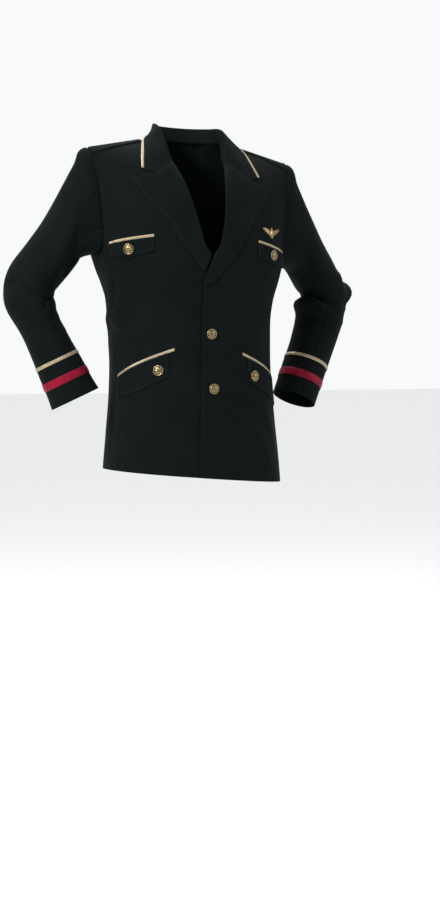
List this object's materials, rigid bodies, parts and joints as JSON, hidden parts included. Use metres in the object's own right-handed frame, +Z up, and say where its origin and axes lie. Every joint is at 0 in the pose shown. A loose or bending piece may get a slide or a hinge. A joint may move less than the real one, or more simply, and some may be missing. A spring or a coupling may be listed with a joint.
{
  "type": "pilot uniform jacket",
  "caption": "Single-breasted pilot's jacket as worn with hands on hips: notched collar, buttoned flaps, shoulder straps, gold braid, cuff ribbons and a wings badge.",
  "frame": {"origin": "midway between the two points where the shoulder seams meet the neckline, where the jacket hangs on its wearer's shoulders", "axes": "+X towards the wearer's left, -Y towards the jacket's front, +Z up"},
  "size_m": [0.8381, 0.2768, 0.7949],
  "materials": {
    "suiting": "near-black plain-woven polyester suiting with a faint soft sheen",
    "gold_braid": "flat woven metallic braid, pale gold",
    "red_ribbon": "crimson satin ribbon",
    "gold_metal": "polished gold-coloured metal, slightly worn"
  },
  "bodies": {
    "root": {"front_left": "suiting", "front_right": "suiting", "side_left": "suiting", "side_right": "suiting", "back_left": "suiting", "back_right": "suiting", "sleeve_left_top": "suiting", "sleeve_left_under": "suiting", "sleeve_right_top": "suiting", "sleeve_right_under": "suiting", "collar": "suiting", "lapel_left": "suiting", "lapel_right": "suiting", "chest_flap_left": "suiting", "chest_flap_right": "suiting", "hip_flap_left": "suiting", "hip_flap_right": "suiting", "shoulder_strap_left": "suiting", "shoulder_strap_right": "suiting", "collar_braid": "gold_braid", "chest_braid_left": "gold_braid", "chest_braid_right": "gold_braid", "hip_braid_left": "gold_braid", "hip_braid_right": "gold_braid", "cuff_braid_left": "gold_braid", "cuff_braid_right": "gold_braid", "cuff_ribbon_left": "red_ribbon", "cuff_ribbon_right": "red_ribbon", "front_button_upper": "gold_metal", "front_button_lower": "gold_metal", "chest_button_left": "gold_metal", "chest_button_right": "gold_metal", "hip_button_left": "gold_metal", "hip_button_right": "gold_metal", "wings_badge": "gold_metal"}
  },
  "joints": []
}
